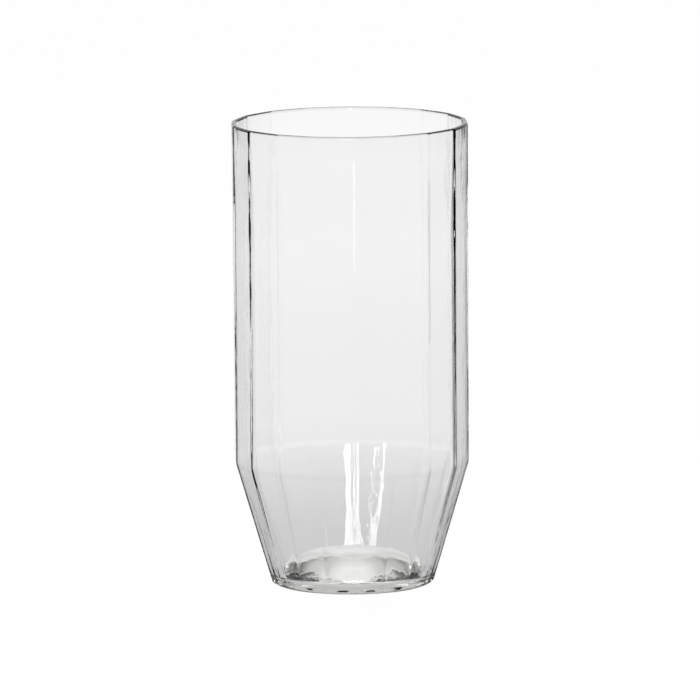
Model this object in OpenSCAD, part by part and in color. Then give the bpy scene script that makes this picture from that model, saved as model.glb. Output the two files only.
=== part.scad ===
// Tall drinking glass, blown in one piece of clear glass.
// Flat facets run round the outside, up a taper, over a crisp shoulder and on to a thin round lip.
// Inside, the wall runs down to a round gutter, and the floor rises from the gutter as a dome.
// Under the dome a round hollow leaves a narrow ring for the glass to stand on.
// The whole glass is one closed skin: sections are stacked up the outside, over the lip and down the inside.

/* [Outline] */
// Height from the table to the top of the lip
height = 140; // [110:1:170]
// Width across opposite corners just under the lip
mouth_w = 71.7; // [60:0.1:85]
// Width across opposite corners at the shoulder
shoulder_w = 71; // [60:0.1:85]
// Width across opposite corners at the top of the round heel
heel_w = 50; // [44:0.1:56]
// Diameter of the flat ring that the glass stands on
foot_w = 42.8; // [36:0.1:44]
// Height of the shoulder above the table
shoulder_h = 37.6; // [28:0.1:50]
// Height of the round heel
heel_h = 2.5; // [1.5:0.1:4]
// Radius that softens the shoulder outside
shoulder_r = 1.2; // [0.5:0.1:4]

/* [Facets] */
// Number of flat facets round the glass
facets = 18; // [14:1:24]
// Radius that softens the upright corners outside
corner_r = 1.5; // [0.4:0.1:4]
// Radius that softens the upright corners inside
inner_corner_r = 6; // [1:0.5:14]

/* [Wall] */
// Thickness of the wall at the lip
lip_wall = 1.6; // [1:0.1:2.2]
// Thickness of the wall where it starts to thin towards the lip
upper_wall = 2.5; // [1.2:0.1:3.2]
// Thickness of the wall at the shoulder
shoulder_wall = 2; // [1.2:0.1:3]
// Thickness of the wall, measured level, where it meets the gutter
base_wall = 2; // [1.5:0.1:4]
// Distance from the top over which the wall thins and its facets soften towards the lip
lip_zone = 30; // [10:1:60]
// Radius that softens the shoulder inside
inner_shoulder_r = 6; // [2:0.5:12]

/* [Base] */
// Height of the gutter inside above the table
gutter_h = 2.8; // [2.2:0.1:5]
// Radius of the hollow where the inside wall turns into the gutter
gutter_r = 2; // [1:0.1:3]
// Height that the floor rises above the gutter
floor_rise = 7.4; // [5:0.1:9]
// Diameter of the flat middle of the domed floor
floor_w = 16; // [4:0.5:24]
// Diameter of the hollow under the base
punt_w = 40; // [32:0.5:41.5]
// Depth of the hollow under the base
punt_h = 3.2; // [1.5:0.1:4]

/* [Hidden] */
glass_color = [0.86, 0.92, 0.92, 0.45];
heel_steps = 6;
turn_steps = 4;
taper_steps = 4;
gutter_steps = 6;
floor_steps = 12;
lip_steps = 8;
// Places of the points along one facet, from one corner to the next
point_shares = [0, 0.05, 0.35, 0.65, 0.95];
// How far the facets have faded into a circle on the wall, at the lip and on the floor
wall_round_share = 0;
lip_round_share = 0.35;
floor_round_share = 1;
facet_angle = 360 / facets;
half_angle = facet_angle / 2;
ring_size = facets * len(point_shares);
// The first corner faces the front
front = -90;
mouth_r = mouth_w / 2;
heel_r = heel_w / 2;
foot_r = foot_w / 2;
outer_r = shoulder_w / 2;
floor_flat_r = floor_w / 2;
// An outer limit that no section reaches
no_limit = height;
// The sphere that leaves the hollow under the base
punt_r = (pow(punt_w / 2, 2) + pow(punt_h, 2)) / (2 * punt_h);

// Corner radius at a height, outside: of the taper and of the wall above it
function taper_r(z) = heel_r + (outer_r - heel_r) * (z - heel_h) / (shoulder_h - heel_h);
function wall_r(z) = outer_r + (mouth_r - outer_r) * (z - shoulder_h) / (lip_z - shoulder_h);

// Reach of a facet from the axis, at an angle from its nearest corner
function reach(corner, soft, angle) =
    let (middle = corner - soft / cos(half_angle))
    let (touch = atan2(soft * sin(half_angle), middle + soft * cos(half_angle)))
    angle < touch
        ? middle * cos(angle) + sqrt(pow(soft, 2) - pow(middle * sin(angle), 2))
        : corner * cos(half_angle) / cos(half_angle - angle);

// One section of the glass: corner radius, height, softness of the corners, share of roundness, outer limit
function section(corner, z, soft, round_share, limit) = [
    for (facet = [0 : facets - 1])
        for (share = point_shares)
            let (near = facet_angle * min(share, 1 - share))
            let (flat = reach(corner, min(soft, corner * cos(half_angle)), near))
            let (radius = min(flat * (1 - round_share) + corner * round_share, limit))
            let (angle = front + facet_angle * (facet + share))
            [radius * cos(angle), radius * sin(angle), z]
];

// Arc that joins two straight stretches of an outline: corner point, points before and after it, radius
function turn(point, before, after, radius, steps) =
    let (into = (point - before) / norm(point - before))
    let (out = (after - point) / norm(after - point))
    let (bend = acos(into * out))
    let (reach_back = radius * tan(bend / 2))
    let (start = point - into * reach_back)
    let (side = cross([into[0], into[1], 0], [out[0], out[1], 0])[2] > 0 ? 1 : -1)
    let (hub = start + side * radius * [-into[1], into[0]])
    [for (i = [0 : steps])
        let (angle = side * bend * i / steps)
        let (arm = start - hub)
        hub + [arm[0] * cos(angle) - arm[1] * sin(angle), arm[0] * sin(angle) + arm[1] * cos(angle)]];

// Outline points of the wall, as corner radius and height
lip_z = height - lip_wall / 2;
upper_z = height - lip_zone;
outer_foot = [taper_r(0), 0];
outer_shoulder = [outer_r, shoulder_h];
outer_upper = [wall_r(upper_z), upper_z];
inner_upper = [wall_r(upper_z) - upper_wall, upper_z];
inner_shoulder = [outer_r - shoulder_wall, shoulder_h];
inner_base = [taper_r(gutter_h) - base_wall, gutter_h];
inner_middle = [0, gutter_h];
// The soft inside of the shoulder and the gutter, both as arcs
shoulder_arc = turn(inner_shoulder, inner_upper, inner_base, inner_shoulder_r, turn_steps);
gutter_arc = turn(inner_base, inner_shoulder, inner_middle, gutter_r, gutter_steps);

function heel_sections() = [
    for (i = [0 : heel_steps - 1])
        let (angle = 90 * i / heel_steps)
        let (z = heel_h * (1 - cos(angle)))
        section(taper_r(z), z, corner_r, wall_round_share, foot_r + (heel_r - foot_r) * sin(angle))
];

function outer_sections() = [
    section(heel_r, heel_h, corner_r, wall_round_share, heel_r),
    for (p = turn(outer_shoulder, outer_foot, outer_upper, shoulder_r, turn_steps))
        section(p[0], p[1], corner_r, wall_round_share, no_limit),
    section(outer_upper[0], outer_upper[1], corner_r, wall_round_share, no_limit)
];

function lip_sections() = [
    for (i = [0 : lip_steps])
        let (angle = 180 * i / lip_steps)
        section(mouth_r - lip_wall / 2 * (1 - cos(angle)), lip_z + lip_wall / 2 * sin(angle),
            inner_corner_r, lip_round_share, no_limit)
];

function inner_sections() = [
    section(inner_upper[0], inner_upper[1], inner_corner_r, wall_round_share, no_limit),
    for (p = shoulder_arc)
        section(p[0], p[1], inner_corner_r, wall_round_share, no_limit),
    // Down the taper the facets fade into the round gutter
    for (i = [1 : taper_steps - 1])
        let (share = i / taper_steps)
        let (p = shoulder_arc[turn_steps] * (1 - share) + gutter_arc[0] * share)
        section(p[0], p[1], inner_corner_r, floor_round_share * pow(share, 2), no_limit)
];

function floor_sections() = [
    for (p = gutter_arc)
        section(p[0], p[1], inner_corner_r, floor_round_share, no_limit),
    // The domed floor, a quarter of an ellipse from the gutter to the flat middle
    for (i = [1 : floor_steps])
        let (angle = 90 * i / floor_steps)
        let (edge = gutter_arc[gutter_steps][0])
        section(floor_flat_r + (edge - floor_flat_r) * cos(angle), gutter_h + floor_rise * sin(angle),
            inner_corner_r, floor_round_share, no_limit)
];

// Closed skin through a stack of sections, with flat ends
module skin(sections) {
    rings = len(sections);
    last = (rings - 1) * ring_size;
    sides = [
        for (r = [0 : rings - 2])
            for (i = [0 : ring_size - 1])
                let (a = r * ring_size + i)
                let (b = r * ring_size + (i + 1) % ring_size)
                [a, a + ring_size, b + ring_size, b]
    ];
    bottom = [for (i = [0 : ring_size - 1]) i];
    top = [for (i = [0 : ring_size - 1]) last + ring_size - 1 - i];
    polyhedron(points = [for (s = sections) each s], faces = concat(sides, [bottom, top]), convexity = 10);
}

module tumbler() {
    color(glass_color)
        difference() {
            skin(concat(heel_sections(), outer_sections(), lip_sections(),
                inner_sections(), floor_sections()));
            translate([0, 0, punt_h - punt_r])
                sphere(r = punt_r, $fn = 180);
        }
}

tumbler();
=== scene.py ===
import bpy
import math
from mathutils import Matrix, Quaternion, Vector


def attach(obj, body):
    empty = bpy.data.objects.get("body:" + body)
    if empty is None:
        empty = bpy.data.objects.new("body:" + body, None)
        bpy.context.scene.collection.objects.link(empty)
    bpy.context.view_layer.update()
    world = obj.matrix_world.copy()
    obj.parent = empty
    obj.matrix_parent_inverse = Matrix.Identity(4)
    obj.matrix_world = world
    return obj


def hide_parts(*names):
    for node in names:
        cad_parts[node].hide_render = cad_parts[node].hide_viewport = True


# tall faceted tumbler on a white table, metres throughout

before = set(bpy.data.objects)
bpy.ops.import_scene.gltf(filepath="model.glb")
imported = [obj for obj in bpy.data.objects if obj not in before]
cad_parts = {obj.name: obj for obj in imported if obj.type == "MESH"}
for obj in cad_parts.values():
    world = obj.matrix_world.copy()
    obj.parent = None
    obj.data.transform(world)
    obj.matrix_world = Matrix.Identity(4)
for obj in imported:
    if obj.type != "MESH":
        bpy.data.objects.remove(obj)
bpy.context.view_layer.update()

scene = bpy.context.scene
scene.view_settings.view_transform = "Standard"

mm = 0.001
tolerance = 0.001 * mm         # points this close in height lie on one level

# glass outline: the solid's sizes, but a softer shoulder and a mouth a hair narrower, to stay in its box
glass = {
    "height": 140 * mm,
    "mouthR": 35.785 * mm,       # all radii are out to the corners
    "shoulderR": 35.5 * mm,
    "shoulderH": 37.6 * mm,
    "shoulderSoft": 8.0 * mm,     # keeps the wall even round the bend
    "heelR": 25.0 * mm,
    "heelH": 2.5 * mm,
    "footR": 21.4 * mm,
    "facets": 18,
    "cornerOut": 1.5 * mm,      # softness of the upright corners
    "cornerIn": 6.0 * mm,
    "lipWall": 1.6 * mm,
    "upperWall": 2.5 * mm,
    "shoulderWall": 2.0 * mm,
    "baseWall": 2.0 * mm,
    "lipZone": 30.0 * mm,       # the wall thins from here up to the lip
    "innerSoft": 6.0 * mm,
    "gutterH": 2.8 * mm,
    "gutterSoft": 2.0 * mm,
    "floorRise": 7.4 * mm,
    "floorR": 8.0 * mm,
    "puntR": 20.0 * mm,
    "puntH": 3.2 * mm,
    "smoothAngle": 24,
}

# one facet of a level: flat cells with a narrow one beside each soft corner
facet = {
    "cells": 5,
    "narrowShare": 0.04,        # of the edge
    "longShare": 0.4,
    "cornerSegments": 4,
    "tipShare": 0.99999,        # what lies this far out is a corner
}


# small helpers for building ring by ring
def taperR(z):
    widens = glass["shoulderR"] - glass["heelR"]
    return glass["heelR"] + widens * (z - glass["heelH"]) / (glass["shoulderH"] - glass["heelH"])


def wallR(z):
    widens = glass["mouthR"] - glass["shoulderR"]
    return glass["shoulderR"] + widens * (z - glass["shoulderH"]) / (lipZ - glass["shoulderH"])


def softTurn(point, before, after, radius, steps):
    # arc of an outline that rounds one of its points off
    point, before, after = Vector(point), Vector(before), Vector(after)
    into = (point - before).normalized()
    out = (after - point).normalized()
    bend = math.acos(into.dot(out))
    start = point - into * radius * math.tan(bend / 2)
    side = 1 if into.x * out.y - into.y * out.x > 0 else -1
    hub = start + side * radius * Vector((-into.y, into.x))
    arm = start - hub
    points = []
    for step in range(steps + 1):
        turn = side * bend * step / steps
        points.append((hub.x + arm.x * math.cos(turn) - arm.y * math.sin(turn),
                       hub.y + arm.x * math.sin(turn) + arm.y * math.cos(turn)))
    return points


def between(first, last, count):
    # points spread evenly between two, without the ends
    return [(first[0] + (last[0] - first[0]) * i / count, first[1] + (last[1] - first[1]) * i / count)
            for i in range(1, count)]


def atLevel(co, z):
    return abs(co.z - z) < tolerance


def pickVerts(obj, wanted):
    bpy.ops.object.mode_set(mode="OBJECT")
    for edge in obj.data.edges:
        edge.select = False
    for face in obj.data.polygons:
        face.select = False
    for vert in obj.data.vertices:
        vert.select = wanted(vert.co)
    bpy.ops.object.mode_set(mode="EDIT")
    bpy.ops.mesh.select_mode(type="VERT")


def cornerReach(obj):
    obj.update_from_editmode()
    return max(v.co.xy.length for v in obj.data.vertices if v.select)


def nextRing(obj, radius, z, roundBy=0.0):
    # pulls the selected ring out into the next one
    obj.update_from_editmode()
    oldZ = next(v.co.z for v in obj.data.vertices if v.select)
    bpy.ops.mesh.extrude_region_move(TRANSFORM_OT_translate={"value": (0, 0, z - oldZ)})
    if roundBy > 0:
        bpy.ops.transform.tosphere(value=roundBy, center_override=(0, 0, z))
    grow = radius / cornerReach(obj)
    bpy.ops.transform.resize(value=(grow, grow, 1), center_override=(0, 0, z))


def roundFrom(had, want):
    # how far a ring goes towards a circle to be this much rounder than the last
    return 1 - (1 - want) / (1 - had)


def facetOutline(obj, radius, z, soft):
    # polygon of one level: corners softened, edges cut into cells, a corner at the front
    bend = 2 * math.pi / glass["facets"]
    edge = 2 * radius * math.sin(bend / 2)
    bpy.ops.mesh.primitive_circle_add(vertices=glass["facets"], radius=radius, location=(0, 0, z))
    # a narrow cell on both sides of each corner keeps the flats flat
    softReach = soft * math.tan(bend / 2)
    bpy.ops.mesh.bevel(offset=softReach + edge * facet["narrowShare"], segments=2, profile=1,
                       affect="VERTICES", clamp_overlap=False)
    pickVerts(obj, lambda co: atLevel(co, z) and co.xy.length > radius * facet["tipShare"])
    bpy.ops.mesh.bevel(offset=softReach, segments=facet["cornerSegments"],
                       affect="VERTICES", clamp_overlap=False)
    pickVerts(obj, lambda co: atLevel(co, z))
    obj.update_from_editmode()
    bpy.ops.object.mode_set(mode="OBJECT")
    for e in obj.data.edges:
        a, b = [obj.data.vertices[i].co for i in e.vertices]
        e.select = atLevel(a, z) and (a - b).length > edge * facet["longShare"]
    for v in obj.data.vertices:
        v.select = False
    bpy.ops.object.mode_set(mode="EDIT")
    bpy.ops.mesh.select_mode(type="EDGE")
    bpy.ops.mesh.subdivide(number_cuts=facet["cells"] - 1)
    bpy.ops.mesh.select_mode(type="VERT")
    pickVerts(obj, lambda co: atLevel(co, z))


# the glass body starts as an empty mesh in edit mode
bpy.ops.object.select_all(action="DESELECT")
bpy.ops.mesh.primitive_circle_add(vertices=3, radius=glass["heelR"])
body = bpy.context.object
body.name = "glassBody"
bpy.ops.object.mode_set(mode="EDIT")
bpy.ops.mesh.select_all(action="SELECT")
bpy.ops.mesh.delete(type="VERT")

lipZ = glass["height"] - glass["lipWall"] / 2
upperZ = glass["height"] - glass["lipZone"]
outerUpper = (wallR(upperZ), upperZ)
outerShoulder = (glass["shoulderR"], glass["shoulderH"])
heelTop = (glass["heelR"], glass["heelH"])

# outside, from the top of the heel up to the lip
wall = {"taperSteps": 6, "arcSteps": 6, "upperSteps": 7, "flank": 1.2 * mm}
facetOutline(body, glass["heelR"], glass["heelH"], glass["cornerOut"])
ringSize = sum(v.select for v in body.data.vertices)
shoulderArc = softTurn(outerShoulder, (taperR(0), 0), outerUpper, glass["shoulderSoft"], wall["arcSteps"])
# a ring close below the bend and one close above it
belowZ = shoulderArc[0][1] - wall["flank"]
aboveZ = shoulderArc[-1][1] + wall["flank"]
rise = between(heelTop, shoulderArc[0], wall["taperSteps"])
rise += [(taperR(belowZ), belowZ)] + shoulderArc + [(wallR(aboveZ), aboveZ)]
rise += between(rise[-1], outerUpper, wall["upperSteps"]) + [outerUpper]
for radius, z in rise:
    nextRing(body, radius, z)
print("outside raised,", ringSize, "points a ring")

# the lip, drawn rounder than the wall
lip = {"steps": 16, "roundness": 0.35, "zoneSteps": 4, "power": 1.5}
had = 0.0
for i in range(1, lip["zoneSteps"] + 1):
    along = i / lip["zoneSteps"]
    want = lip["roundness"] * along ** lip["power"]
    z = upperZ + (lipZ - upperZ) * along
    nextRing(body, wallR(z), z, roundFrom(had, want))
    had = want
for i in range(1, lip["steps"] + 1):
    turn = math.pi * i / lip["steps"]
    radius = glass["mouthR"] - glass["lipWall"] / 2 * (1 - math.cos(turn))
    nextRing(body, radius, lipZ + glass["lipWall"] / 2 * math.sin(turn))
print("lip turned over")

# heel: the round curve cuts the facets off in scallops
heel = {"steps": 12}
pickVerts(body, lambda co: atLevel(co, glass["heelH"]))
lastZ = glass["heelH"]
for i in range(1, heel["steps"] + 1):
    turn = math.pi / 2 * (1 - i / heel["steps"])
    z = glass["heelH"] * (1 - math.cos(turn))
    limit = glass["footR"] + (glass["heelR"] - glass["footR"]) * math.sin(turn)
    bpy.ops.mesh.extrude_region_move(TRANSFORM_OT_translate={"value": (0, 0, z - lastZ)})
    shrink = taperR(z) / taperR(lastZ)
    bpy.ops.transform.resize(value=(shrink, shrink, 1), center_override=(0, 0, z))
    pickVerts(body, lambda co: atLevel(co, z) and co.xy.length > limit)
    body.update_from_editmode()
    over = [v.co.xy.length for v in body.data.vertices if v.select]
    if over:
        bpy.ops.transform.tosphere(value=1, center_override=(0, 0, z))
        trim = limit / (sum(over) / len(over))
        bpy.ops.transform.resize(value=(trim, trim, 1), center_override=(0, 0, z))
    pickVerts(body, lambda co: atLevel(co, z))
    lastZ = z
print("heel cut")

# foot ring and the hollow under it
punt = {"steps": 12, "middle": 0.04}
for i in range(punt["steps"] + 1):
    radius = glass["puntR"] * (1 - (1 - punt["middle"]) * i / punt["steps"])
    z = glass["puntH"] * (1 - (radius / glass["puntR"]) ** 2)
    nextRing(body, radius, z, 1 if i == 0 else 0)
bpy.ops.mesh.edge_face_add()
print("underside closed")

# inside, from a hair below the lip zone down to the gutter
inside = {"arcSteps": 6, "fadeSteps": 10, "fadePower": 2, "gutterSteps": 12}
join = {"gap": 0.01 * mm, "reach": 0.1 * mm, "cuts": 3}
joinZ = upperZ - join["gap"]
innerUpper = (wallR(upperZ) - glass["upperWall"], upperZ)
innerShoulder = (glass["shoulderR"] - glass["shoulderWall"], glass["shoulderH"])
innerBase = (taperR(glass["gutterH"]) - glass["baseWall"], glass["gutterH"])
innerArc = softTurn(innerShoulder, innerUpper, innerBase, glass["innerSoft"], inside["arcSteps"])
innerMiddle = (0, glass["gutterH"])
gutterArc = softTurn(innerBase, innerShoulder, innerMiddle, glass["gutterSoft"], inside["gutterSteps"])
bpy.ops.mesh.select_all(action="DESELECT")
facetOutline(body, innerUpper[0], joinZ, glass["cornerIn"])
fall = between(innerUpper, innerArc[0], wall["upperSteps"])
fall += [(innerArc[0][0], innerArc[0][1] + wall["flank"])] + innerArc
for radius, z in fall:
    nextRing(body, radius, z)
# down the taper the facets fade into the round gutter
had = 0.0
for i in range(1, inside["fadeSteps"] + 1):
    along = i / inside["fadeSteps"]
    radius = innerArc[-1][0] + (gutterArc[0][0] - innerArc[-1][0]) * along
    z = innerArc[-1][1] + (gutterArc[0][1] - innerArc[-1][1]) * along
    want = along ** inside["fadePower"]
    nextRing(body, radius, z, roundFrom(had, want))
    had = want
for radius, z in gutterArc[1:]:
    nextRing(body, radius, z)
print("inside drawn down to the gutter")

# raised floor, flat in the middle
dome = {"steps": 14, "flatShares": (0.7, 0.4, 0.1)}
for i in range(1, dome["steps"] + 1):
    turn = math.pi / 2 * i / dome["steps"]
    radius = glass["floorR"] + (gutterArc[-1][0] - glass["floorR"]) * math.cos(turn)
    nextRing(body, radius, glass["gutterH"] + glass["floorRise"] * math.sin(turn))
for share in dome["flatShares"]:
    nextRing(body, glass["floorR"] * share, glass["gutterH"] + glass["floorRise"])
bpy.ops.mesh.edge_face_add()


def atJoin(co):
    onLip = atLevel(co, lipZ) and co.xy.length < glass["mouthR"] - glass["lipWall"] + join["reach"]
    onWall = atLevel(co, joinZ) and co.xy.length < innerUpper[0] + join["reach"]
    return onLip or onWall


# the lip's last ring meets the first one of the inside wall
pickVerts(body, atJoin)
bpy.ops.mesh.select_mode(type="EDGE")
bpy.ops.mesh.bridge_edge_loops(number_cuts=join["cuts"])
bpy.ops.mesh.select_all(action="SELECT")
bpy.ops.mesh.normals_make_consistent(inside=False)
bpy.ops.object.mode_set(mode="OBJECT")
bpy.ops.object.shade_smooth_by_angle(angle=math.radians(glass["smoothAngle"]))
print("glass closed,", len(body.data.polygons), "faces")

# clear glass, blown, so never quite even
clear = {
    "ior": 1.5,
    "tint": (1, 1, 1, 1),
    "inside": (0.5, 0.54, 0.34, 1),
    "density": 3,
    "bounces": 10,
    "waveScale": 220,
    "waveStretch": 0.4,
    "waveDetail": 2,
    "waveDepth": 0.07 * mm,
    "waveStrength": 1,
    "smearScale": 160,
    "smearStretch": 0.25,
    "smearDetail": 3,
    "smearFrom": 0.45,          # of the noise, below it the polish is clean
    "smearTo": 0.75,
    "polish": 0.0,              # roughness where it is clean and where it is smeared
    "smear": 0.03,
}
glassMat = bpy.data.materials.new("clearGlass")
glassMat.use_nodes = True
nodes, links = glassMat.node_tree.nodes, glassMat.node_tree.links
shader = nodes["Principled BSDF"]
shader.inputs["Base Color"].default_value = clear["tint"]
shader.inputs["IOR"].default_value = clear["ior"]
shader.inputs["Transmission Weight"].default_value = 1
depth = nodes.new("ShaderNodeVolumeAbsorption")
depth.inputs["Color"].default_value = clear["inside"]
depth.inputs["Density"].default_value = clear["density"]
links.new(depth.outputs[0], nodes["Material Output"].inputs["Volume"])
place = nodes.new("ShaderNodeTexCoord")


def longNoise(stretch, scale, detail):
    # noise drawn out in the upright direction
    mapping = nodes.new("ShaderNodeMapping")
    mapping.inputs["Scale"].default_value = (1, 1, stretch)
    links.new(place.outputs["Object"], mapping.inputs["Vector"])
    noise = nodes.new("ShaderNodeTexNoise")
    noise.inputs["Scale"].default_value = scale
    noise.inputs["Detail"].default_value = detail
    links.new(mapping.outputs[0], noise.inputs["Vector"])
    return noise.outputs[0]


# slow waves of the blown wall
bump = nodes.new("ShaderNodeBump")
bump.inputs["Strength"].default_value = clear["waveStrength"]
bump.inputs["Distance"].default_value = clear["waveDepth"]
waves = longNoise(clear["waveStretch"], clear["waveScale"], clear["waveDetail"])
links.new(waves, bump.inputs["Height"])
links.new(bump.outputs[0], shader.inputs["Normal"])
# a faint smear in the polish
polish = nodes.new("ShaderNodeMapRange")
polish.inputs["From Min"].default_value = clear["smearFrom"]
polish.inputs["From Max"].default_value = clear["smearTo"]
polish.inputs["To Min"].default_value = clear["polish"]
polish.inputs["To Max"].default_value = clear["smear"]
smears = longNoise(clear["smearStretch"], clear["smearScale"], clear["smearDetail"])
links.new(smears, polish.inputs["Value"])
links.new(polish.outputs[0], shader.inputs["Roughness"])
scene.cycles.glossy_bounces = clear["bounces"]
body.data.materials.append(glassMat)
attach(body, "root")
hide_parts("tumbler")
print("glass material set")


# nodes for the table and the surroundings, which give off light of their own
def mathNode(tree, kind, first, second):
    node = tree.nodes.new("ShaderNodeMath")
    node.operation = kind
    for socket, value in enumerate((first, second)):
        if isinstance(value, (int, float)):
            node.inputs[socket].default_value = value
        else:
            tree.links.new(value, node.inputs[socket])
    return node.outputs[0]


def times(tree, first, second):
    return mathNode(tree, "MULTIPLY", first, second)


def softStep(tree, value, low, high, atLow, atHigh):
    node = tree.nodes.new("ShaderNodeMapRange")
    node.interpolation_type = "SMOOTHSTEP"
    tree.links.new(value, node.inputs["Value"])
    node.inputs["From Min"].default_value = low
    node.inputs["From Max"].default_value = high
    node.inputs["To Min"].default_value = atLow
    node.inputs["To Max"].default_value = atHigh
    return node.outputs[0]


# the room round the glass, in degrees to each side of straight behind it
room = {
    "sideFrom": 15,             # light is painted darker at each side, as if a grey screen stood there
    "sideFull": 50,
    "sideTo": 64,
    "sideGone": 84,
    "left": 0.2,                # how much painted shade it lays at that side
    "right": 0.65,
    "backFrom": 20,             # painted reflections: bright behind and dim in front
    "backTo": 60,
    "backGlow": 0.9,
    "front": 0.12,
    "mirrorRight": 0.35,
}


def throughLight(tree, x, y, reach=None):
    # light that comes through the glass, painted darker at each side
    turn = mathNode(tree, "ARCTAN2", x, y)
    off = mathNode(tree, "ABSOLUTE", turn, 0)
    start, full = math.radians(room["sideFrom"]), math.radians(room["sideFull"])
    end, gone = math.radians(room["sideTo"]), math.radians(room["sideGone"])
    shade = softStep(tree, turn, -start, start, room["left"], room["right"])
    shade = times(tree, shade, softStep(tree, off, start, full, 0, 1))
    shade = times(tree, shade, softStep(tree, off, end, gone, 1, 0))
    if reach is not None:
        shade = times(tree, shade, reach)
    return mathNode(tree, "SUBTRACT", 1, shade)


def mirrorLight(tree, x, y):
    # painted light that the glass reflects, bright behind, dim in front and to the right
    turn = mathNode(tree, "ARCTAN2", x, y)
    off = mathNode(tree, "ABSOLUTE", turn, 0)
    start, end = math.radians(room["backFrom"]), math.radians(room["backTo"])
    glow = softStep(tree, off, start, end, room["backGlow"], room["front"])
    dim = softStep(tree, turn, start, end, 1, room["mirrorRight"])
    return times(tree, glow, dim)


def chosenLight(tree, through, mirrored, seen):
    # refracted and reflected rays each get their own light, and the camera sees plain white
    rays = tree.nodes.new("ShaderNodeLightPath")
    change = mathNode(tree, "SUBTRACT", mirrored, through)
    change = times(tree, rays.outputs["Is Reflection Ray"], change)
    lit = mathNode(tree, "ADD", through, change)
    direct = times(tree, rays.outputs["Is Camera Ray"], seen)
    return mathNode(tree, "MAXIMUM", lit, direct), rays


table = {
    "size": 40,
    "drop": 0.1 * mm,           # keeps it clear of the foot
    "paint": (0.8, 0.8, 0.8, 1),
    "roughness": 0.9,
    "under": 0.6,               # painted light of the table at growing distances from the glass, darkest under it as painted shadow
    "near": 0.63,
    "mid": 0.89,
    "far": 0.96,
    "underR": 0.022,
    "nearR": 0.05,
    "midR": 0.35,
    "farR": 1.0,
    "sideShadeR": 0.16,            # the painted side shade darkens the table only beyond this
    "seen": 1.12,               # what the camera sees of it
    "glowShare": 0.85,          # for the camera the rest is paint, which takes the shadow
    "pool": 2.8,                # painted pool of light on the table in front, for the softbox's light
    "poolTurn": 13,
    "poolNear": 0.66,
    "poolFar": 0.78,
    "poolEnd": 0.95,
    "poolGone": 1.05,
}
bpy.ops.mesh.primitive_plane_add(size=table["size"], location=(0, 0, -table["drop"]))
floor = bpy.context.object
floor.name = "table"
floorMat = bpy.data.materials.new("whiteTable")
floorMat.use_nodes = True
tree = floorMat.node_tree
paint = tree.nodes["Principled BSDF"]
paint.inputs["Base Color"].default_value = table["paint"]
paint.inputs["Roughness"].default_value = table["roughness"]
geometry = tree.nodes.new("ShaderNodeNewGeometry")
split = tree.nodes.new("ShaderNodeSeparateXYZ")
tree.links.new(geometry.outputs["Position"], split.inputs[0])
x, y = split.outputs["X"], split.outputs["Y"]
flat = tree.nodes.new("ShaderNodeCombineXYZ")
tree.links.new(x, flat.inputs["X"])
tree.links.new(y, flat.inputs["Y"])
spread = tree.nodes.new("ShaderNodeVectorMath")
spread.operation = "LENGTH"
tree.links.new(flat.outputs[0], spread.inputs[0])
away = spread.outputs["Value"]
# painted shadow: the table's light is painted darker under and round the glass, rising farther off
paintedShadowUnder = softStep(tree, away, table["underR"], table["nearR"], table["under"], table["near"])
midPart = softStep(tree, away, table["nearR"], table["midR"], 0, table["mid"] - table["near"])
farPart = softStep(tree, away, table["midR"], table["farR"], 0, table["far"] - table["mid"])
through = mathNode(tree, "ADD", paintedShadowUnder, mathNode(tree, "ADD", midPart, farPart))
# painted shade at the sides of the table, away from the glass
reach = softStep(tree, away, table["nearR"], table["sideShadeR"], 0, 1)
through = times(tree, through, throughLight(tree, x, y, reach))
# painted reflections of the table, with a painted pool of light in front, seen in reflections, for the
# softbox's light
mirrored = mirrorLight(tree, x, y)
toFront = mathNode(tree, "ARCTAN2", x, times(tree, y, -1))
toFront = mathNode(tree, "ABSOLUTE", toFront, 0)
poolSide = math.radians(table["poolTurn"])
poolWide = softStep(tree, toFront, poolSide / 2, poolSide, table["pool"], 0)
poolDeep = softStep(tree, away, table["poolNear"], table["poolFar"], 0, 1)
poolBack = softStep(tree, away, table["poolEnd"], table["poolGone"], 1, 0)
poolDeep = times(tree, poolDeep, poolBack)
mirrored = mathNode(tree, "ADD", mirrored, times(tree, poolWide, poolDeep))
light, rays = chosenLight(tree, through, mirrored, table["seen"])
glow = tree.nodes.new("ShaderNodeEmission")
tree.links.new(light, glow.inputs["Strength"])
# the camera still sees a share of the painted table, so the glass keeps its faint shadow
shown = times(tree, rays.outputs["Is Camera Ray"], table["glowShare"])
shown = mathNode(tree, "MAXIMUM", shown, rays.outputs["Is Glossy Ray"])
shown = mathNode(tree, "MAXIMUM", shown, rays.outputs["Is Transmission Ray"])
mix = tree.nodes.new("ShaderNodeMixShader")
tree.links.new(shown, mix.inputs[0])
tree.links.new(paint.outputs[0], mix.inputs[1])
tree.links.new(glow.outputs[0], mix.inputs[2])
tree.links.new(mix.outputs[0], tree.nodes["Material Output"].inputs[0])
floor.data.materials.append(floorMat)

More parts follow.
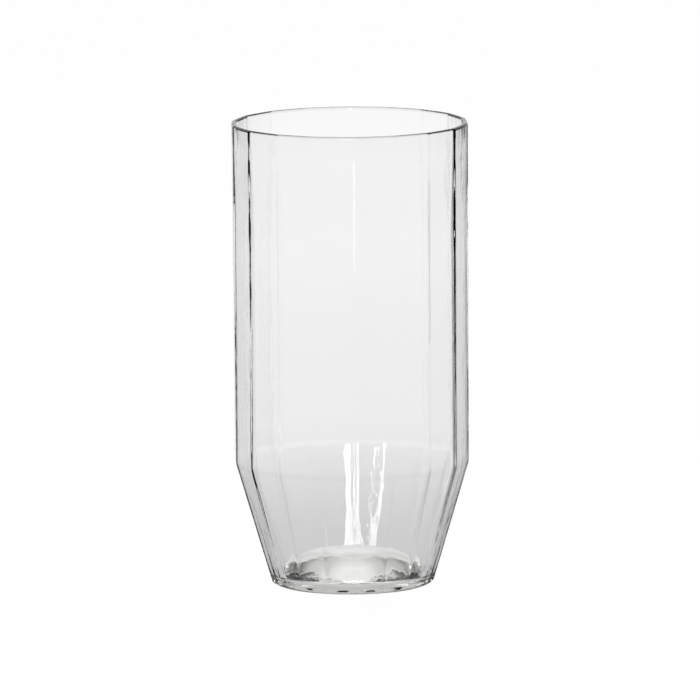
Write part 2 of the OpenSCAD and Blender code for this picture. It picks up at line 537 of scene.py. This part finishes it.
# pale wall, dimmer higher up, and a darker ceiling, in degrees above the table
sky = {
    "wall": 1.06,
    "high": 0.74,
    "ceiling": 0.15,
    "wallTop": 6,
    "highFrom": 19,
    "ceilingFrom": 42,
    "seen": 1.0,                # white for the camera
    "color": (1, 1, 1, 1),
}
world = bpy.data.worlds.new("studio")
scene.world = world
world.use_nodes = True
tree = world.node_tree
coords = tree.nodes.new("ShaderNodeTexCoord")
split = tree.nodes.new("ShaderNodeSeparateXYZ")
tree.links.new(coords.outputs["Generated"], split.inputs[0])
x, y, z = split.outputs["X"], split.outputs["Y"], split.outputs["Z"]
wallTop = math.sin(math.radians(sky["wallTop"]))
highFrom = math.sin(math.radians(sky["highFrom"]))
ceilingFrom = math.sin(math.radians(sky["ceilingFrom"]))
lower = softStep(tree, z, wallTop, highFrom, sky["wall"], sky["high"])
upper = softStep(tree, z, highFrom, ceilingFrom, 0, sky["ceiling"] - sky["high"])
through = mathNode(tree, "ADD", lower, upper)
through = times(tree, through, throughLight(tree, x, y))
light, rays = chosenLight(tree, through, mirrorLight(tree, x, y), sky["seen"])
background = tree.nodes["Background"]
background.inputs["Color"].default_value = sky["color"]
tree.links.new(light, background.inputs["Strength"])
print("table and surroundings set")


def wayTo(turn, elevation):
    # direction from the glass, turn in degrees to the right of straight in front
    turn, elevation = math.radians(turn), math.radians(elevation)
    level = math.cos(elevation)
    return Vector((math.sin(turn) * level, -math.cos(turn) * level, math.sin(elevation)))


# one wide softbox in front gives the white streak on the back wall
frontBox = {"distance": 1.5, "elevation": 25, "turn": -2, "width": 0.66, "height": 0.35, "power": 8.8}
boxWay = wayTo(frontBox["turn"], frontBox["elevation"])
bpy.ops.object.light_add(type="AREA", location=boxWay * frontBox["distance"])
softbox = bpy.context.object
softbox.name = "frontSoftbox"
softbox.rotation_mode = "QUATERNION"
softbox.rotation_quaternion = boxWay.to_track_quat("Z", "Y")
softbox.data.shape = "RECTANGLE"
softbox.data.size = frontBox["width"]
softbox.data.size_y = frontBox["height"]
softbox.data.energy = frontBox["power"]
print("softbox set")

# camera, at the photo's angle
shot = {
    "distance": 3.8,
    "elevation": 8.62,
    "turn": -2.0,
    "roll": -0.4,
    "target": Vector((-0.0003, 0, 0.0708)),
    "pixelsPerMm": 3.328,
    "framePixels": 700,
    "sensor": 36,
    "clipStart": 0.1,
    "clipEnd": 60,
}
back = wayTo(shot["turn"], shot["elevation"])
cameraData = bpy.data.cameras.new("camera")
camera = bpy.data.objects.new("camera", cameraData)
scene.collection.objects.link(camera)
camera.location = shot["target"] + back * shot["distance"]
camera.rotation_mode = "QUATERNION"
rollTurn = Quaternion((0, 0, 1), math.radians(shot["roll"]))
camera.rotation_quaternion = (-back).to_track_quat("-Z", "Y") @ rollTurn
cameraData.sensor_width = shot["sensor"]
cameraData.lens = shot["pixelsPerMm"] * shot["distance"] / mm / shot["framePixels"] * shot["sensor"]
cameraData.clip_start = shot["clipStart"]
cameraData.clip_end = shot["clipEnd"]
scene.camera = camera
print("camera set, lens", round(cameraData.lens, 1))
